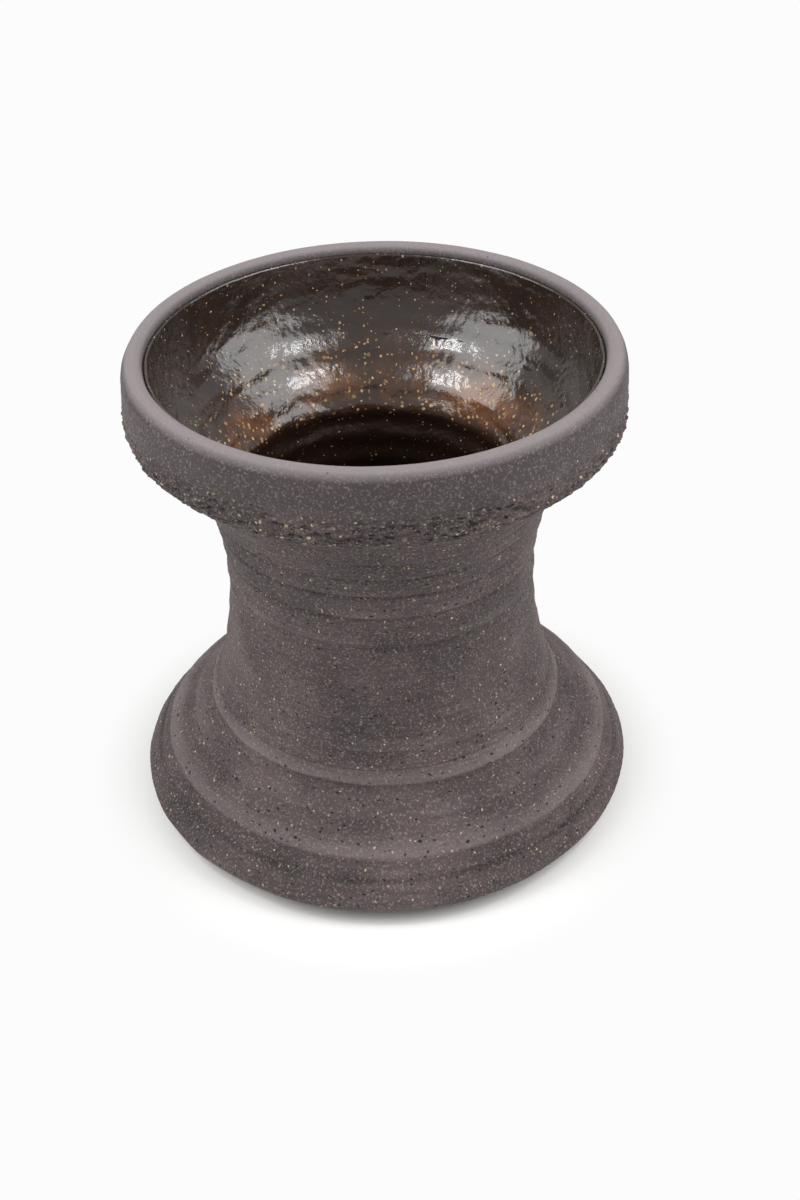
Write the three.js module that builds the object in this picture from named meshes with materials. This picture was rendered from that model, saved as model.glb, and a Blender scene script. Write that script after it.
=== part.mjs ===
// Ceramic vase: a flared foot, a narrow neck and a heavy collar, thrown apart and luted together.
// Millimetres, +Z up. The origin is the middle of the face that the vase stands on.
import * as THREE from 'three';

// Driving sizes: overall
const lipHeight = 140.7;
const openingRadius = 60;
const roundSteps = 40;
const outlineStep = 6;

// Driving sizes: foot
const baseRadius = 65.6;
const footRadius = 71.8;
const footEdgeHeight = 7.3;
const footShoulderRadius = 61.6;
const footShoulderHeight = 19.6;
const ankleRadius = 50.6;
const ankleHeight = 30.6;
const footWall = 6.5;
const footRingWidth = 6.3;

// Driving sizes: neck
const waistRadius = 43.1;
const waistHeight = 66;
const neckTopRadius = 45.4;
const neckTopDrop = 19.1;
const neckWall = 6.2;
const neckJointHeight = 36;
const throatRadius = 38.2;
const throatDrop = 13.1;

// Driving sizes: collar
const collarHeight = 27.1;
const collarRadius = 66.2;
const collarWaistDrop = 14.7;
const collarLowerEdgeRadius = 62.2;
const collarLowerEdgeDrop = 22.3;
const collarUndersideRadius = 56.8;
const shoulderOuterRadius = 54.8;
const shoulderInnerRadius = 47.8;
const bowlWallDrop = 16.7;
const lipWall = 4.6;
const lipRound = 2.4;

// Driving sizes: floor, slip and glaze
const floorThickness = 7;
const floorRecess = 2;
const slipThickness = 0.8;
const slipRecess = 0.8;
const lapHeight = 3;
const glazeThickness = 0.4;

// Heights worked out from the driving sizes
const floorTop = floorRecess + floorThickness;
const collarJointHeight = lipHeight - collarHeight;
const collarWaistHeight = lipHeight - collarWaistDrop;
const collarLowerEdgeHeight = lipHeight - collarLowerEdgeDrop;
const bowlWallHeight = lipHeight - bowlWallDrop;
const neckTopHeight = collarJointHeight - neckTopDrop;
const throatHeight = collarJointHeight - throatDrop;
const collarBottom = collarJointHeight + slipThickness;
const bellInnerRadius = baseRadius - footRingWidth;

// Outer wall: radius at each height, from the table to the top of the collar
const outerStations = [
  [0, baseRadius],
  [footEdgeHeight * 0.5, (baseRadius + 3 * footRadius) / 4],
  [footEdgeHeight, footRadius],
  [footShoulderHeight, footShoulderRadius],
  [ankleHeight, ankleRadius],
  [waistHeight, waistRadius],
  [neckTopHeight, neckTopRadius],
  [collarJointHeight, shoulderOuterRadius],
];

// Inner wall of the chamber, throat and bowl: radius at each height, from the floor to the lip
const innerStations = [
  [floorTop, footRadius - footWall - (footRadius - footShoulderRadius) * 0.15],
  [footShoulderHeight, footShoulderRadius - footWall],
  [ankleHeight, ankleRadius - footWall],
  [waistHeight, waistRadius - neckWall],
  [throatHeight, throatRadius],
  [collarJointHeight, shoulderInnerRadius],
  [bowlWallHeight, openingRadius - lipWall],
  [lipHeight, openingRadius],
];

// Radius on a smooth wall that passes through the stations
function radiusAt(stations, height) {
  const last = stations.length - 2;
  let k = 0;
  while (k < last && height > stations[k + 1][0]) {
    k += 1;
  }
  const [z0, r0] = stations[k];
  const [z1, r1] = stations[k + 1];
  const slopeAt = (i) => {
    const a = stations[Math.max(i - 1, 0)];
    const b = stations[Math.min(i + 1, stations.length - 1)];
    return (b[1] - a[1]) / (b[0] - a[0]);
  };
  const t = (height - z0) / (z1 - z0);
  const rise = z1 - z0;
  const h00 = 2 * t ** 3 - 3 * t ** 2 + 1;
  const h10 = t ** 3 - 2 * t ** 2 + t;
  const h01 = 3 * t ** 2 - 2 * t ** 3;
  const h11 = t ** 3 - t ** 2;
  return h00 * r0 + h10 * rise * slopeAt(k) + h01 * r1 + h11 * rise * slopeAt(k + 1);
}

const outerRadiusAt = (height) => radiusAt(outerStations, height);
const innerRadiusAt = (height) => radiusAt(innerStations, height);

// Points up one wall, from one height to another, ends included
function wallPoints(radiusOf, from, to) {
  const steps = Math.max(1, Math.round(Math.abs(to - from) / outlineStep));
  const points = [];
  for (let i = 0; i <= steps; i += 1) {
    const height = from + ((to - from) * i) / steps;
    points.push([radiusOf(height), height]);
  }
  return points;
}

// Inner wall in the stretches that the separate sections share with the glaze
const neckLapHeight = neckJointHeight + lapHeight;
const collarLapHeight = collarJointHeight + lapHeight;
const chamberWall = wallPoints(innerRadiusAt, floorTop, neckLapHeight);
const footSlipWall = wallPoints(innerRadiusAt, neckLapHeight, neckLapHeight + slipThickness);
const neckWallInside = wallPoints(innerRadiusAt, neckLapHeight + slipThickness, collarLapHeight);
const collarSlipWall = wallPoints(innerRadiusAt, collarLapHeight, collarLapHeight + slipThickness);
const bowlWall = wallPoints(innerRadiusAt, collarLapHeight + slipThickness, lipHeight - lipRound);

// Closed ring or disc turned from an outline of [radius, height] points, seen with its front out
function turned(name, outline, material) {
  const closed = outline[0][0] === 0 ? outline : [...outline, outline[0]];
  const points = closed.map(([radius, height]) => new THREE.Vector2(radius, height));
  const mesh = new THREE.Mesh(new THREE.LatheGeometry(points, roundSteps), material);
  mesh.name = name;
  mesh.rotation.x = Math.PI / 2;
  return mesh;
}

function clay(color, roughness) {
  return new THREE.MeshStandardMaterial({ color, roughness, metalness: 0 });
}

// Middle of the lap, where the tongue of the lower section stands inside the upper one
function lapRadius(jointHeight) {
  return (outerRadiusAt(jointHeight) + innerRadiusAt(jointHeight + lapHeight)) / 2;
}

const neckLapRadius = lapRadius(neckJointHeight);
const collarLapRadius = lapRadius(collarJointHeight);

// Foot: flared bell with a foot ring, open below for the floor disc
function footBell() {
  const outside = wallPoints(outerRadiusAt, 0, neckJointHeight);
  const inside = [...chamberWall].reverse();
  const outline = [
    [bellInnerRadius, 0],
    ...outside,
    [neckLapRadius, neckJointHeight],
    [neckLapRadius, neckLapHeight],
    ...inside,
    [bellInnerRadius, floorTop],
  ];
  return turned('foot_bell', outline, clay('#4a403a', 0.88));
}

// Floor: thrown disc let into the foot ring, clear of the table
function floorDisc() {
  const edge = bellInnerRadius - slipThickness;
  const outline = [
    [0, floorRecess],
    [edge, floorRecess],
    [edge, floorTop],
    [0, floorTop],
  ];
  return turned('floor_disc', outline, clay('#453b36', 0.9));
}

function floorSlipSeam() {
  const edge = bellInnerRadius - slipThickness;
  const outline = [
    [edge, floorRecess],
    [bellInnerRadius, floorRecess],
    [bellInnerRadius, floorTop],
    [edge, floorTop],
  ];
  return turned('floor_slip_seam', outline, clay('#332b27', 0.92));
}

// Slip that fills a lap between a lower and an upper section
function lapSlip(name, jointHeight, middle, outerEdge, innerEdge) {
  const top = jointHeight + lapHeight;
  const [lowInner, highInner] = innerEdge;
  const outline = [
    [middle, jointHeight],
    [outerEdge[0], jointHeight],
    [outerEdge[1], jointHeight + slipThickness],
    [middle + slipThickness, jointHeight + slipThickness],
    [middle + slipThickness, top + slipThickness],
    [highInner[0], top + slipThickness],
    [lowInner[0], top],
    [middle, top],
  ];
  return turned(name, outline, clay('#2e2723', 0.92));
}

function footSlipSeam() {
  const outerEdge = [outerRadiusAt(neckJointHeight), outerRadiusAt(neckJointHeight + slipThickness)];
  return lapSlip('foot_slip_seam', neckJointHeight, neckLapRadius, outerEdge, footSlipWall);
}

function collarSlipSeam() {
  const edge = shoulderOuterRadius - slipRecess;
  return lapSlip('collar_slip_seam', collarJointHeight, collarLapRadius, [edge, edge], collarSlipWall);
}

// Neck: thrown cylinder with a narrow waist, opening at the top into the bowl's shoulder
function waistNeck() {
  const bottom = neckJointHeight + slipThickness;
  const outside = wallPoints(outerRadiusAt, bottom, collarJointHeight);
  const inside = [...neckWallInside].reverse();
  const outline = [
    [neckLapRadius + slipThickness, neckLapHeight + slipThickness],
    [neckLapRadius + slipThickness, bottom],
    ...outside,
    [collarLapRadius, collarJointHeight],
    [collarLapRadius, collarLapHeight],
    ...inside,
  ];
  return turned('waist_neck', outline, clay('#4f453e', 0.87));
}

// Collar: heavy rim with a rounded lip and a trimmed lower edge
function rimCollar() {
  const outerLipRadius = openingRadius + lipWall;
  const lipMiddle = (openingRadius + outerLipRadius) / 2;
  const inside = [...bowlWall].reverse();
  const outline = [
    [collarLapRadius + slipThickness, collarLapHeight + slipThickness],
    [collarLapRadius + slipThickness, collarBottom],
    [collarUndersideRadius, collarBottom],
    [collarLowerEdgeRadius, collarLowerEdgeHeight],
    [collarRadius - 0.4, (collarLowerEdgeHeight + collarWaistHeight) / 2],
    [collarRadius, collarWaistHeight],
    [(collarRadius + outerLipRadius) / 2 + 0.4, lipHeight - 2 * lipRound],
    [outerLipRadius, lipHeight - lipRound * 0.6],
    [outerLipRadius - lipRound * 0.4, lipHeight - lipRound * 0.15],
    [lipMiddle, lipHeight],
    [openingRadius + lipRound * 0.15, lipHeight - lipRound * 0.4],
    ...inside,
  ];
  return turned('rim_collar', outline, clay('#453d3a', 0.8));
}

// Glaze: thin glassy coat over the floor, chamber, throat and bowl
function glazeLining() {
  const wall = [
    [bellInnerRadius, floorTop],
    ...chamberWall,
    ...footSlipWall.slice(1),
    ...neckWallInside.slice(1),
    ...collarSlipWall.slice(1),
    ...bowlWall.slice(1),
  ];
  const face = wall.slice(1).map(([radius, height], i) => [
    radius - glazeThickness,
    i === 0 ? floorTop + glazeThickness : height,
  ]);
  const outline = [
    [0, floorTop],
    [bellInnerRadius - slipThickness, floorTop],
    ...wall,
    ...face.reverse(),
    [0, floorTop + glazeThickness],
  ];
  return turned('glaze_lining', outline, clay('#2a1a10', 0.12));
}

const vase = new THREE.Group();
vase.name = 'vase';
vase.add(footBell(), floorDisc(), floorSlipSeam(), footSlipSeam());
vase.add(waistNeck(), collarSlipSeam(), rimCollar(), glazeLining());

export default vase;
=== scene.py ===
import math

import bpy
from mathutils import Matrix, Vector, noise


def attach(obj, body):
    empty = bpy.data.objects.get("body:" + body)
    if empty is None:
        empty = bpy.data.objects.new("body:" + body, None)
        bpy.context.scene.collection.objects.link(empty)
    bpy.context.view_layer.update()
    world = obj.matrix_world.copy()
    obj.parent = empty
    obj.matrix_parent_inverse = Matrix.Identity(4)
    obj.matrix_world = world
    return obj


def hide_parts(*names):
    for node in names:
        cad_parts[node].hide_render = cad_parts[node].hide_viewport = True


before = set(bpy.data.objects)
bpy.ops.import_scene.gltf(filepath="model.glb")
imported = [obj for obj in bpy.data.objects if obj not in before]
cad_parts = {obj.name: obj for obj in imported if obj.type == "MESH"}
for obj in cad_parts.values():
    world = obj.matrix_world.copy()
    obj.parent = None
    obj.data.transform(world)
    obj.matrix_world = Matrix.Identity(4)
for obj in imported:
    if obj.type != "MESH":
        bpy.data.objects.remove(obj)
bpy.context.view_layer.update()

# Sizes in millimetres, the same as the solids have
MM = 0.001
LIP_HEIGHT = 140.7
LIP_ROUND = 2.4
BASE_RADIUS = 65.6
FOOT_RING_WIDTH = 6.3
FLOOR_TOP = 9.0
NECK_JOINT_HEIGHT = 36.0
COLLAR_JOINT_HEIGHT = 113.6
SLIP_THICKNESS = 0.8
GLAZE_THICKNESS = 0.4
CLAY_SETBACK = 0.8
COLUMNS = 560

# Zones of the wall, each as the heights where it begins and where it is full
TORN_CLAY = (111.5, 114.0)
TORN_CLAY_END = (125.0, 132.0)
CALM_CLAY = (128.0, 134.0)
CHARCOAL_BAND = (127.0, 132.0)
PALER_LIP_BAND = (138.0, 140.2)
COARSE_GROG = (133.0, 124.0)
COLLAR_GROG = (110.0, 115.0)
THROAT_EDGE = (98.0, 103.0)
RUSTY_SHOULDER = (119.0, 107.0)
GLAZE_RINGS = (20.0, 30.0)
GLAZE_RINGS_END = (118.0, 124.0)
GLAZE_RING_PITCH = 7.5

OUTER_WALL = [(0, 65.6), (3.65, 70.25), (7.3, 71.8), (19.6, 61.6), (30.6, 50.6),
              (66, 43.1), (94.5, 45.4), (113.6, 54.8)]
INNER_WALL = [(9, 63.8), (19.6, 55.1), (30.6, 44.1), (66, 36.9), (100.5, 38.2),
              (113.6, 47.8), (124, 55.4), (140.7, 60)]
COLLAR_OUTSIDE = [(56.8, 114.4), (62.2, 118.4), (65.8, 122.2), (66.2, 126), (65.8, 135.9),
                  (64.6, 139.3), (63.6, 140.35), (62.3, 140.7), (60.5, 139.8), (60, 138.3)]

# Throwing rings as (height, rise, reach above, reach below)
RINGS = [(12, -0.5, 0.9, 0.9), (17.3, 0.9, 4.0, 1.0), (25, 0.45, 3.5, 1.2), (32, 0.9, 4.0, 1.0),
         (41, 0.4, 3.5, 1.2), (50, 0.25, 3.0, 1.5), (61.8, 0.2, 3.0, 1.0), (72.5, -0.4, 0.6, 0.8),
         (73.8, 0.35, 3.0, 0.8), (82.2, -0.5, 0.6, 0.7), (83.5, 0.35, 2.5, 0.8), (89.9, -0.55, 0.6, 0.7),
         (91.2, 0.35, 2.2, 0.8), (96.4, -0.5, 0.6, 0.7), (97.6, 0.3, 2.0, 0.8), (103.6, -0.4, 0.6, 0.7),
         (104.8, 0.25, 2.0, 0.8)]


def wall_radius(stations, height):
    """Radius on the smooth wall through the stations."""
    last = len(stations) - 2
    k = 0
    while k < last and height > stations[k + 1][0]:
        k += 1
    z0, r0 = stations[k]
    z1, r1 = stations[k + 1]

    def slope(i):
        a = stations[max(i - 1, 0)]
        b = stations[min(i + 1, len(stations) - 1)]
        return (b[1] - a[1]) / (b[0] - a[0])

    t = (height - z0) / (z1 - z0)
    rise = z1 - z0
    low = (2 * t**3 - 3 * t**2 + 1) * r0 + (t**3 - 2 * t**2 + t) * rise * slope(k)
    high = (3 * t**2 - 2 * t**3) * r1 + (t**3 - t**2) * rise * slope(k + 1)
    return low + high


def wall(stations, low, high, step, relief, setback=0.0):
    """Outline points (radius, height, relief share) from one height to another."""
    count = max(1, round(abs(high - low) / step))
    heights = [low + (high - low) * i / count for i in range(count + 1)]
    return [(wall_radius(stations, z) + setback, z, relief) for z in heights]


def rounded(points, step, relief):
    """Outline through the points on a smooth curve."""
    outline = []
    for i in range(len(points) - 1):
        a = Vector(points[max(i - 1, 0)])
        b = Vector(points[i])
        c = Vector(points[i + 1])
        d = Vector(points[min(i + 2, len(points) - 1)])
        count = max(1, round((c - b).length / step))
        for j in range(count):
            t = j / count
            p = 0.5 * (2 * b + (c - a) * t + (2 * a - 5 * b + 4 * c - d) * t**2
                       + (3 * b - a - 3 * c + d) * t**3)
            outline.append((p.x, p.y, relief))
    outline.append((points[-1][0], points[-1][1], relief))
    return outline


def fade(value, low, high):
    t = min(max((value - low) / (high - low), 0.0), 1.0)
    return t * t * (3 - 2 * t)


def clay_relief(angle, radius, height):
    """How far the thrown and trimmed clay stands proud of its plain wall, in millimetres."""
    x = radius * math.cos(angle)
    y = radius * math.sin(angle)
    z = height + 0.5 * math.sin(angle + 0.7) + 0.3 * math.sin(2 * angle + 2.1)
    rings = sum(rise * math.exp(-((z - at) / (above if z > at else below)) ** 2)
                for at, rise, above, below in RINGS)
    drag = 0.16 * noise.noise((x * 0.05, y * 0.05, z * 1.1))
    lumps = 0.35 * noise.noise((x * 0.07, y * 0.07, z * 0.1))
    grain = 0.1 * noise.noise((x * 0.9, y * 0.9, z * 0.9)) + 0.07 * noise.noise((x * 2.1, y * 2.1, z * 2.1))
    torn_zone = fade(height, *TORN_CLAY) * (1 - fade(height, *TORN_CLAY_END))
    tear = -1.2 * abs(noise.noise((x * 0.2, y * 0.2, z * 1.1)))
    chips = 0.65 * noise.noise((x * 0.6, y * 0.6, z * 0.9))
    calm = 1 - 0.7 * fade(height, *CALM_CLAY)
    return rings + (drag + lumps + grain) * calm + torn_zone * (tear + chips + 0.2)


def glaze_relief(angle, radius, height):
    """Soft throwing rings and a melted skin under the glaze, in millimetres."""
    x = radius * math.cos(angle)
    y = radius * math.sin(angle)
    z = height + 0.8 * math.sin(angle + 1.9)
    rings = 0.28 * math.sin(z * 2 * math.pi / GLAZE_RING_PITCH) * fade(height, *GLAZE_RINGS)
    skin = 0.25 * noise.noise((x * 0.16, y * 0.16, z * 0.3)) + 0.06 * noise.noise((x * 0.7, y * 0.7, z * 0.7))
    return -(rings * (1 - fade(height, *GLAZE_RINGS_END)) + skin)


def turned(name, outline, relief, material, node, poles=False):
    """Closed piece turned from an outline, with the relief on its shown side."""
    body = outline[1:-1] if poles else outline
    points = []
    proud = []
    for radius, height, share in body:
        for k in range(COLUMNS):
            angle = 2 * math.pi * k / COLUMNS
            rise = share * relief(angle, radius, height) if share else 0.0
            r = radius + rise
            points.append((r * math.cos(angle) * MM, r * math.sin(angle) * MM, height * MM))
            proud.append(rise)
    rows = len(body)
    faces = []
    for i in range(rows - 1 if poles else rows):
        j = (i + 1) % rows
        for k in range(COLUMNS):
            n = (k + 1) % COLUMNS
            faces.append((i * COLUMNS + k, i * COLUMNS + n, j * COLUMNS + n, j * COLUMNS + k))
    if poles:
        first = len(points)
        points.append((0, 0, outline[0][1] * MM))
        points.append((0, 0, outline[-1][1] * MM))
        proud += [0.0, 0.0]
        top = (rows - 1) * COLUMNS
        for k in range(COLUMNS):
            n = (k + 1) % COLUMNS
            faces.append((first, n, k))
            faces.append((first + 1, top + k, top + n))
    mesh = bpy.data.meshes.new(name)
    mesh.from_pydata(points, [], faces)
    mesh.polygons.foreach_set("use_smooth", [True] * len(mesh.polygons))
    mesh.attributes.new("relief", "FLOAT", "POINT").data.foreach_set("value", proud)
    mesh.materials.append(material)
    mesh.update()
    piece = bpy.data.objects.new(name, mesh)
    bpy.context.scene.collection.objects.link(piece)
    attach(piece, "root")
    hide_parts(node)
    return piece


def srgb(code):
    """Linear colour from an sRGB hex value."""
    parts = [int(code[i:i + 2], 16) / 255 for i in (1, 3, 5)]
    return tuple(c / 12.92 if c <= 0.04045 else ((c + 0.055) / 1.055) ** 2.4 for c in parts) + (1.0,)


def add(tree, kind, links=None, **settings):
    """Node with its settings, and its inputs set or linked."""
    new = tree.nodes.new(kind)
    for key, value in settings.items():
        setattr(new, key, value)
    for key, value in (links or {}).items():
        if isinstance(value, bpy.types.Node):
            value = value.outputs[0]
        if isinstance(value, bpy.types.NodeSocket):
            tree.links.new(value, new.inputs[key])
        else:
            new.inputs[key].default_value = value
    return new


def start_material(name):
    material = bpy.data.materials.new(name)
    material.use_nodes = True
    tree = material.node_tree
    shader = tree.nodes["Principled BSDF"]
    place = add(tree, "ShaderNodeTexCoord").outputs["Object"]
    millimetres = add(tree, "ShaderNodeVectorMath", {0: place, 3: 1 / MM}, operation="SCALE")
    return material, tree, shader, millimetres


# Groggy stoneware, reduction fired: dark brown-grey body, pale grog and burnt-out pits, matte
def groggy_stoneware():
    material, tree, shader, at = start_material("groggy_stoneware")
    height = add(tree, "ShaderNodeSeparateXYZ", {0: at}).outputs["Z"]
    relief = add(tree, "ShaderNodeAttribute", attribute_name="relief").outputs["Fac"]
    cloud = add(tree, "ShaderNodeTexNoise", {"Vector": at, "Scale": 0.05, "Detail": 6.0})
    body = add(tree, "ShaderNodeValToRGB", {0: cloud})
    body.color_ramp.elements[0].position = 0.3
    body.color_ramp.elements[0].color = srgb("#382f30")
    body.color_ramp.elements[1].position = 0.72
    body.color_ramp.elements[1].color = srgb("#5d5051")
    # Finger drag, about 1 mm high and many times as long
    stretched = add(tree, "ShaderNodeVectorMath", {0: at, 1: (0.06, 0.06, 1.0)}, operation="MULTIPLY")
    drag = add(tree, "ShaderNodeTexNoise", {"Vector": stretched, "Scale": 1.1, "Detail": 5.0})
    drag_share = add(tree, "ShaderNodeMapRange", {0: drag, 1: 0.35, 2: 0.7, 3: 0.0, 4: 0.55})
    dragged = add(tree, "ShaderNodeMix", {0: drag_share.outputs[0], 6: body.outputs[0],
                                          7: srgb("#332b2b")}, data_type="RGBA").outputs[2]
    # Painted highlight: crests, where the clay stands proud, are painted paler. Painted shade: grooves and
    # tears are painted dark
    painted_crest_highlight = add(tree, "ShaderNodeMapRange", {0: relief, 1: 0.25, 2: 1.1, 3: 0.0, 4: 0.5})
    pale = add(tree, "ShaderNodeMix", {0: painted_crest_highlight.outputs[0], 6: dragged, 7: srgb("#85797a")},
               data_type="RGBA").outputs[2]
    # Painted shade, darkest in the deepest grooves and tears
    painted_groove_shade = add(tree, "ShaderNodeMapRange", {0: relief, 1: -0.12, 2: -0.75, 3: 0.0, 4: 0.85})
    shaded = add(tree, "ShaderNodeMix", {0: painted_groove_shade.outputs[0], 6: pale, 7: srgb("#1d1815")},
                 data_type="RGBA").outputs[2]
    # Smooth charcoal band on the collar, and paler colour from 138 mm up to the lip
    band = add(tree, "ShaderNodeMapRange", {0: height, 1: CHARCOAL_BAND[0], 2: CHARCOAL_BAND[1],
                                            3: 0.0, 4: 0.75})
    banded = add(tree, "ShaderNodeMix", {0: band.outputs[0], 6: shaded, 7: srgb("#413a3c")},
                 data_type="RGBA").outputs[2]
    lip = add(tree, "ShaderNodeMapRange", {0: height, 1: PALER_LIP_BAND[0], 2: PALER_LIP_BAND[1], 3: 0.0, 4: 0.7})
    lipped = add(tree, "ShaderNodeMix", {0: lip.outputs[0], 6: banded, 7: srgb("#968d8f")},
                 data_type="RGBA").outputs[2]
    # Sandy grain under 0.5 mm, all over
    sand = add(tree, "ShaderNodeTexNoise", {"Vector": at, "Scale": 1.6, "Detail": 3.0})
    sand_share = add(tree, "ShaderNodeMapRange", {0: sand, 1: 0.52, 2: 0.7, 3: 0.0, 4: 0.45})
    sandy = add(tree, "ShaderNodeMix", {0: sand_share.outputs[0], 6: lipped, 7: srgb("#9a8d88")},
                data_type="RGBA").outputs[2]
    # Grog 0.2 to 0.8 mm across, ragged, thickest where the trimming tore it out
    warp = add(tree, "ShaderNodeTexNoise", {"Vector": at, "Scale": 1.3, "Detail": 2.0}).outputs["Color"]
    ragged = add(tree, "ShaderNodeVectorMath", {0: warp, 1: (1.1, 1.1, 1.1), 2: at},
                 operation="MULTIPLY_ADD")
    torn = add(tree, "ShaderNodeMapRange", {0: height, 1: COARSE_GROG[0], 2: COARSE_GROG[1], 3: 0.25, 4: 1.0})
    neck = add(tree, "ShaderNodeMapRange", {0: height, 1: COLLAR_GROG[0], 2: COLLAR_GROG[1], 3: 0.6, 4: 1.0})
    coarse = add(tree, "ShaderNodeMath", {0: torn.outputs[0], 1: neck.outputs[0]}, operation="MULTIPLY")
    cells = add(tree, "ShaderNodeTexVoronoi", {"Vector": ragged, "Scale": 0.8})
    pick = add(tree, "ShaderNodeSeparateColor", {0: cells.outputs["Color"]})
    size = add(tree, "ShaderNodeMapRange", {0: pick.outputs[0], 1: 0.5, 2: 1.0, 3: 0.0, 4: 0.44})
    size_here = add(tree, "ShaderNodeMath", {0: size.outputs[0], 1: coarse}, operation="MULTIPLY")
    grog = add(tree, "ShaderNodeMath", {0: cells.outputs["Distance"], 1: size_here}, operation="LESS_THAN")
    grog_colour = add(tree, "ShaderNodeMix", {0: pick.outputs[1], 6: srgb("#7d6c60"), 7: srgb("#c6a988")},
                      data_type="RGBA").outputs[2]
    grogged = add(tree, "ShaderNodeMix", {0: grog, 6: sandy, 7: grog_colour}, data_type="RGBA").outputs[2]
    # Pits 0.3 to 1 mm across, drawn out sideways by the throwing; their near-black colour is painted shade
    flat = add(tree, "ShaderNodeVectorMath", {0: ragged, 1: (1.0, 1.0, 1.9)}, operation="MULTIPLY")
    pit_cells = add(tree, "ShaderNodeTexVoronoi", {"Vector": flat, "Scale": 0.55})
    pit_pick = add(tree, "ShaderNodeSeparateColor", {0: pit_cells.outputs["Color"]})
    pit_size = add(tree, "ShaderNodeMapRange", {0: pit_pick.outputs[2], 1: 0.5, 2: 1.0, 3: 0.0, 4: 0.52})
    pit_here = add(tree, "ShaderNodeMath", {0: pit_size.outputs[0], 1: coarse}, operation="MULTIPLY")
    pit = add(tree, "ShaderNodeMath", {0: pit_cells.outputs["Distance"], 1: pit_here},
              operation="LESS_THAN")
    pitted = add(tree, "ShaderNodeMix", {0: pit, 6: grogged, 7: srgb("#120e0c")}, data_type="RGBA").outputs[2]
    tree.links.new(pitted, shader.inputs["Base Color"])
    grain = add(tree, "ShaderNodeTexNoise", {"Vector": at, "Scale": 1.6, "Detail": 6.0})
    raised = add(tree, "ShaderNodeMath", {0: grog, 1: 0.6, 2: grain}, operation="MULTIPLY_ADD")
    sunk = add(tree, "ShaderNodeMath", {0: pit, 1: -1.4, 2: raised}, operation="MULTIPLY_ADD")
    bump = add(tree, "ShaderNodeBump", {"Height": sunk, "Strength": 0.55, "Distance": 0.3 * MM})
    tree.links.new(bump.outputs[0], shader.inputs["Normal"])
    shader.inputs["Roughness"].default_value = 0.78
    shader.inputs["IOR"].default_value = 1.5
    return material


# Iron-rich tenmoku glaze: near black where thick, rust and gold where it runs thin, glossy
def tenmoku_glaze():
    material, tree, shader, at = start_material("tenmoku_glaze")
    height = add(tree, "ShaderNodeSeparateXYZ", {0: at}).outputs["Z"]
    cloud = add(tree, "ShaderNodeTexNoise", {"Vector": at, "Scale": 0.06, "Detail": 7.0,
                                             "Roughness": 0.62})
    low = add(tree, "ShaderNodeMapRange", {0: height, 1: THROAT_EDGE[0], 2: THROAT_EDGE[1], 3: 0.12, 4: 1.0})
    high = add(tree, "ShaderNodeMapRange", {0: height, 1: RUSTY_SHOULDER[0], 2: RUSTY_SHOULDER[1],
                                            3: 0.2, 4: 1.0})
    thin = add(tree, "ShaderNodeMath", {0: low.outputs[0], 1: high.outputs[0]}, operation="MULTIPLY")
    patch = add(tree, "ShaderNodeMapRange", {0: cloud, 1: 0.4, 2: 0.68, 3: 0.15, 4: 1.0})
    rust_share = add(tree, "ShaderNodeMath", {0: thin, 1: patch.outputs[0]}, operation="MULTIPLY")
    body = add(tree, "ShaderNodeValToRGB", {0: rust_share})
    body.color_ramp.elements[0].color = srgb("#241a15")
    body.color_ramp.elements[1].color = srgb("#7a4a24")
    middle = body.color_ramp.elements.new(0.4)
    middle.color = srgb("#402a1d")
    # Golden crystals and melted grog 0.3 to 0.8 mm across
    warp = add(tree, "ShaderNodeTexNoise", {"Vector": at, "Scale": 1.3, "Detail": 2.0}).outputs["Color"]
    ragged = add(tree, "ShaderNodeVectorMath", {0: warp, 1: (0.9, 0.9, 0.9), 2: at},
                 operation="MULTIPLY_ADD")
    cells = add(tree, "ShaderNodeTexVoronoi", {"Vector": ragged, "Scale": 0.85})
    pick = add(tree, "ShaderNodeSeparateColor", {0: cells.outputs["Color"]})
    size = add(tree, "ShaderNodeMapRange", {0: pick.outputs[0], 1: 0.35, 2: 1.0, 3: 0.0, 4: 0.46})
    many = add(tree, "ShaderNodeMapRange", {0: thin, 1: 0.0, 2: 0.6, 3: 0.4, 4: 1.0})
    size_here = add(tree, "ShaderNodeMath", {0: size.outputs[0], 1: many.outputs[0]}, operation="MULTIPLY")
    crystal = add(tree, "ShaderNodeMath", {0: cells.outputs["Distance"], 1: size_here}, operation="LESS_THAN")
    crystal_colour = add(tree, "ShaderNodeMix", {0: pick.outputs[1], 6: srgb("#6e4728"), 7: srgb("#c9a878")},
                         data_type="RGBA").outputs[2]
    golden = add(tree, "ShaderNodeMix", {0: crystal, 6: body.outputs[0], 7: crystal_colour},
                 data_type="RGBA").outputs[2]
    tree.links.new(golden, shader.inputs["Base Color"])
    skin = add(tree, "ShaderNodeTexNoise", {"Vector": at, "Scale": 0.55, "Detail": 3.0})
    bump = add(tree, "ShaderNodeBump", {"Height": skin, "Strength": 0.32, "Distance": 0.6 * MM})
    tree.links.new(bump.outputs[0], shader.inputs["Normal"])
    tree.links.new(bump.outputs[0], shader.inputs["Coat Normal"])
    shader.inputs["Roughness"].default_value = 0.22
    shader.inputs["IOR"].default_value = 1.55
    shader.inputs["Coat Weight"].default_value = 0.7
    shader.inputs["Coat Roughness"].default_value = 0.05
    return material


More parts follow.
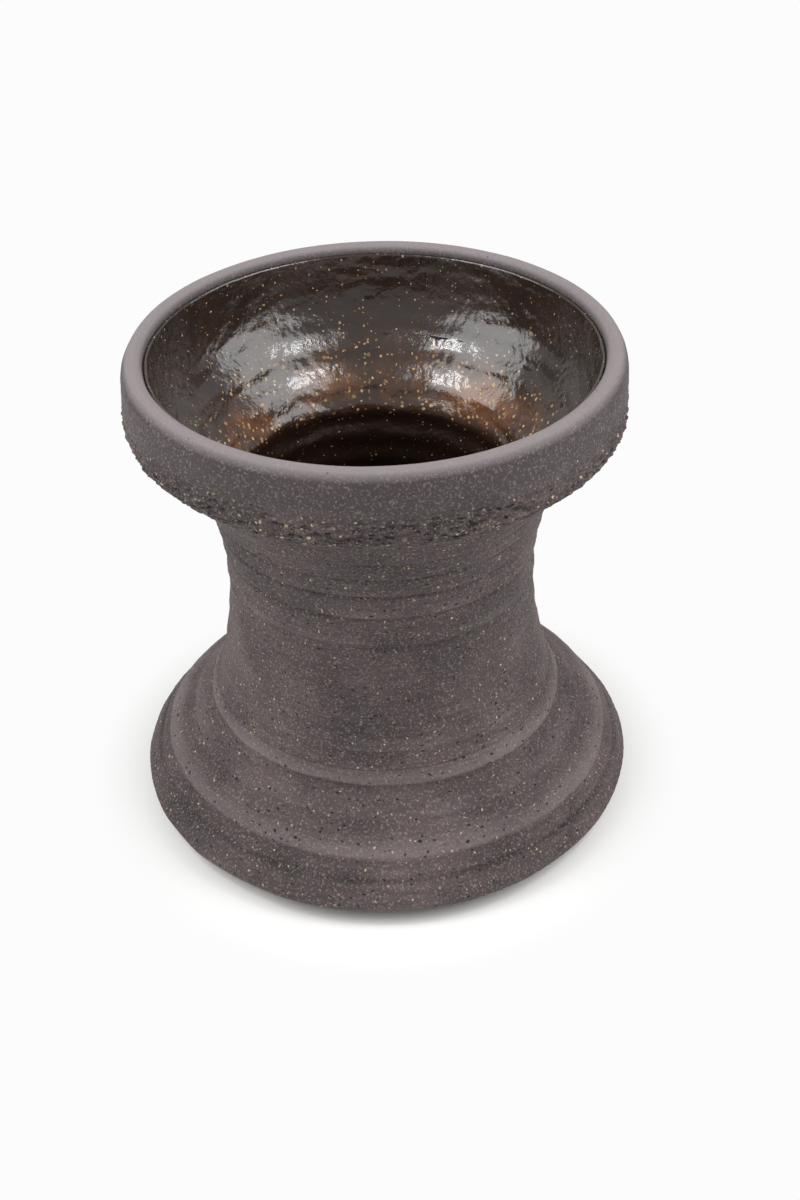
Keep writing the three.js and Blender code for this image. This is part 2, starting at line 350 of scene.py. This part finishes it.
# Joining slip, dried and fired in the crevice: darker and finer than the body
def dark_slip():
    material, tree, shader, at = start_material("dark_slip")
    cloud = add(tree, "ShaderNodeTexNoise", {"Vector": at, "Scale": 0.7, "Detail": 5.0})
    colour = add(tree, "ShaderNodeMix", {0: cloud, 6: srgb("#15110f"), 7: srgb("#352c27")},
                 data_type="RGBA").outputs[2]
    tree.links.new(colour, shader.inputs["Base Color"])
    bump = add(tree, "ShaderNodeBump", {"Height": cloud, "Strength": 0.5, "Distance": 0.2 * MM})
    tree.links.new(bump.outputs[0], shader.inputs["Normal"])
    shader.inputs["Roughness"].default_value = 0.9
    return material


def foot_bell(material):
    bell_inside = BASE_RADIUS - FOOT_RING_WIDTH
    top = NECK_JOINT_HEIGHT
    outside = [(BASE_RADIUS - 0.6, 0.0, 0.0)] + wall(OUTER_WALL, 0.35, top, 0.42, 1.0)
    outside[1] = (outside[1][0], outside[1][1], 0.3)
    inside = wall(INNER_WALL, top, FLOOR_TOP, 4.0, 0.0, CLAY_SETBACK)
    outline = [(bell_inside, 0.0, 0.0)] + outside + inside + [(bell_inside, FLOOR_TOP, 0.0)]
    turned("foot_bell_clay", outline, clay_relief, material, "foot_bell")


def foot_seam(material):
    inner = wall_radius(INNER_WALL, NECK_JOINT_HEIGHT) + 2 * CLAY_SETBACK
    outer = wall_radius(OUTER_WALL, NECK_JOINT_HEIGHT) - 2 * CLAY_SETBACK
    low = NECK_JOINT_HEIGHT - SLIP_THICKNESS / 2
    high = NECK_JOINT_HEIGHT + SLIP_THICKNESS / 2
    outline = [(inner, low, 0.0), (outer, low, 0.0), (outer, high, 0.0), (inner, high, 0.0)]
    turned("foot_seam_slip", outline, clay_relief, material, "foot_slip_seam")


def waist_neck(material):
    outside = wall(OUTER_WALL, NECK_JOINT_HEIGHT, COLLAR_JOINT_HEIGHT, 0.47, 1.0)
    inside = wall(INNER_WALL, COLLAR_JOINT_HEIGHT, NECK_JOINT_HEIGHT, 5.0, 0.0, CLAY_SETBACK)
    turned("waist_neck_clay", outside + inside, clay_relief, material, "waist_neck")


def rim_collar(material):
    outside = rounded(COLLAR_OUTSIDE, 0.36, 1.0)
    inside = wall(INNER_WALL, LIP_HEIGHT - LIP_ROUND - 1.0, COLLAR_JOINT_HEIGHT + SLIP_THICKNESS, 4.0,
                  0.0, CLAY_SETBACK)
    turned("rim_collar_clay", outside + inside, clay_relief, material, "rim_collar")


def glaze_lining(material):
    top = LIP_HEIGHT - LIP_ROUND
    fine = wall(INNER_WALL, 92.0, top, 0.45, 1.0, -GLAZE_THICKNESS)
    coarse = wall(INNER_WALL, FLOOR_TOP + 3.0, 92.0, 1.4, 1.0, -GLAZE_THICKNESS)[:-1]
    floor_edge = wall_radius(INNER_WALL, FLOOR_TOP)
    floor_face = FLOOR_TOP + GLAZE_THICKNESS
    cove = [(floor_edge - 4.0, floor_face, 0.0), (floor_edge - 1.6, floor_face + 0.7, 0.0)]
    back = wall(INNER_WALL, top, FLOOR_TOP, 5.0, 0.0, CLAY_SETBACK / 2)
    outline = [(0.0, floor_face, 0.0), (20.0, floor_face, 0.0), (40.0, floor_face, 0.0)] + cove
    outline += coarse + fine + back + [(30.0, FLOOR_TOP, 0.0), (0.0, FLOOR_TOP, 0.0)]
    turned("glaze_lining_coat", outline, glaze_relief, material, "glaze_lining", poles=True)


def dress(node, material):
    """Better material on a solid that keeps its own shape."""
    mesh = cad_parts[node].data
    mesh.materials.clear()
    mesh.materials.append(material)


# Camera: 50 mm lens on a 36 mm frame, looking down at the vase from the front
def camera():
    distance = 388.8
    height = 340.2
    pitch = math.radians(36.0)
    yaw = math.radians(0.75)
    roll = math.radians(-1.38)
    ahead = Vector((math.sin(yaw) * math.cos(pitch), math.cos(yaw) * math.cos(pitch), -math.sin(pitch)))
    right = Vector((math.cos(yaw), -math.sin(yaw), 0))
    up = right.cross(ahead)
    across = math.cos(roll) * right + math.sin(roll) * up
    above = math.cos(roll) * up - math.sin(roll) * right
    data = bpy.data.cameras.new("view")
    data.lens = 50
    data.sensor_width = 36
    data.clip_start = 0.01
    item = bpy.data.objects.new("view", data)
    bpy.context.scene.collection.objects.link(item)
    turn = Matrix((across, above, -ahead)).transposed().to_4x4()
    item.matrix_world = Matrix.Translation((0, -distance * MM, height * MM)) @ turn
    bpy.context.scene.camera = item


def soft_box(name, place, size, watts):
    data = bpy.data.lights.new(name, "AREA")
    data.shape = "RECTANGLE"
    data.size, data.size_y = size
    data.energy = watts
    item = bpy.data.objects.new(name, data)
    bpy.context.scene.collection.objects.link(item)
    item.location = place
    item.rotation_euler = (Vector((0, 0, 0.08)) - Vector(place)).to_track_quat("-Z", "Y").to_euler()


# White paper floor that fades into the white surround away from the vase
def paper_floor():
    mesh = bpy.data.meshes.new("paper_floor")
    reach = 3.0
    mesh.from_pydata([(-reach, -reach, 0), (reach, -reach, 0), (reach, reach, 0), (-reach, reach, 0)],
                     [], [(0, 1, 2, 3)])
    floor = bpy.data.objects.new("paper_floor", mesh)
    bpy.context.scene.collection.objects.link(floor)
    floor.location.z = -0.0002
    material = bpy.data.materials.new("white_paper")
    material.use_nodes = True
    tree = material.node_tree
    shader = tree.nodes["Principled BSDF"]
    shader.inputs["Base Color"].default_value = srgb("#f6f6f4")
    shader.inputs["Roughness"].default_value = 0.9
    place = add(tree, "ShaderNodeTexCoord").outputs["Object"]
    reach_out = add(tree, "ShaderNodeVectorMath", {0: place}, operation="LENGTH").outputs["Value"]
    far = add(tree, "ShaderNodeMapRange", {0: reach_out, 1: 0.066, 2: 0.092}, interpolation_type="SMOOTHSTEP")
    seen = add(tree, "ShaderNodeLightPath").outputs["Is Camera Ray"]
    share = add(tree, "ShaderNodeMath", {0: far.outputs[0], 1: seen}, operation="MULTIPLY")
    white = add(tree, "ShaderNodeEmission", {0: srgb("#fcfcfc")})
    blend = add(tree, "ShaderNodeMixShader", {0: share, 1: shader, 2: white})
    tree.links.new(blend.outputs[0], tree.nodes["Material Output"].inputs["Surface"])
    mesh.materials.append(material)


def surround():
    world = bpy.data.worlds.new("surround")
    bpy.context.scene.world = world
    world.use_nodes = True
    tree = world.node_tree
    seen = add(tree, "ShaderNodeLightPath").outputs["Is Camera Ray"]
    strength = add(tree, "ShaderNodeMapRange", {0: seen, 3: 0.5, 4: 1.0})
    ground = tree.nodes["Background"]
    ground.inputs["Color"].default_value = srgb("#fcfcfc")
    tree.links.new(strength.outputs[0], ground.inputs["Strength"])


camera()
clay = groggy_stoneware()
glaze = tenmoku_glaze()
slip = dark_slip()
foot_bell(clay)
foot_seam(slip)
waist_neck(clay)
rim_collar(clay)
glaze_lining(glaze)
dress("floor_disc", clay)
dress("floor_slip_seam", slip)
dress("collar_slip_seam", slip)
paper_floor()
surround()
soft_box("left_soft_box", (-0.72, -0.12, 0.75), (0.8, 0.9), 6.2)
soft_box("right_soft_box", (0.72, -0.12, 0.75), (0.8, 0.9), 6.2)
soft_box("left_bulb", (-0.42, -0.1, 0.85), (0.1, 0.16), 0.9)
soft_box("right_bulb", (0.42, -0.1, 0.85), (0.14, 0.16), 0.9)
bpy.context.scene.view_settings.view_transform = "Standard"
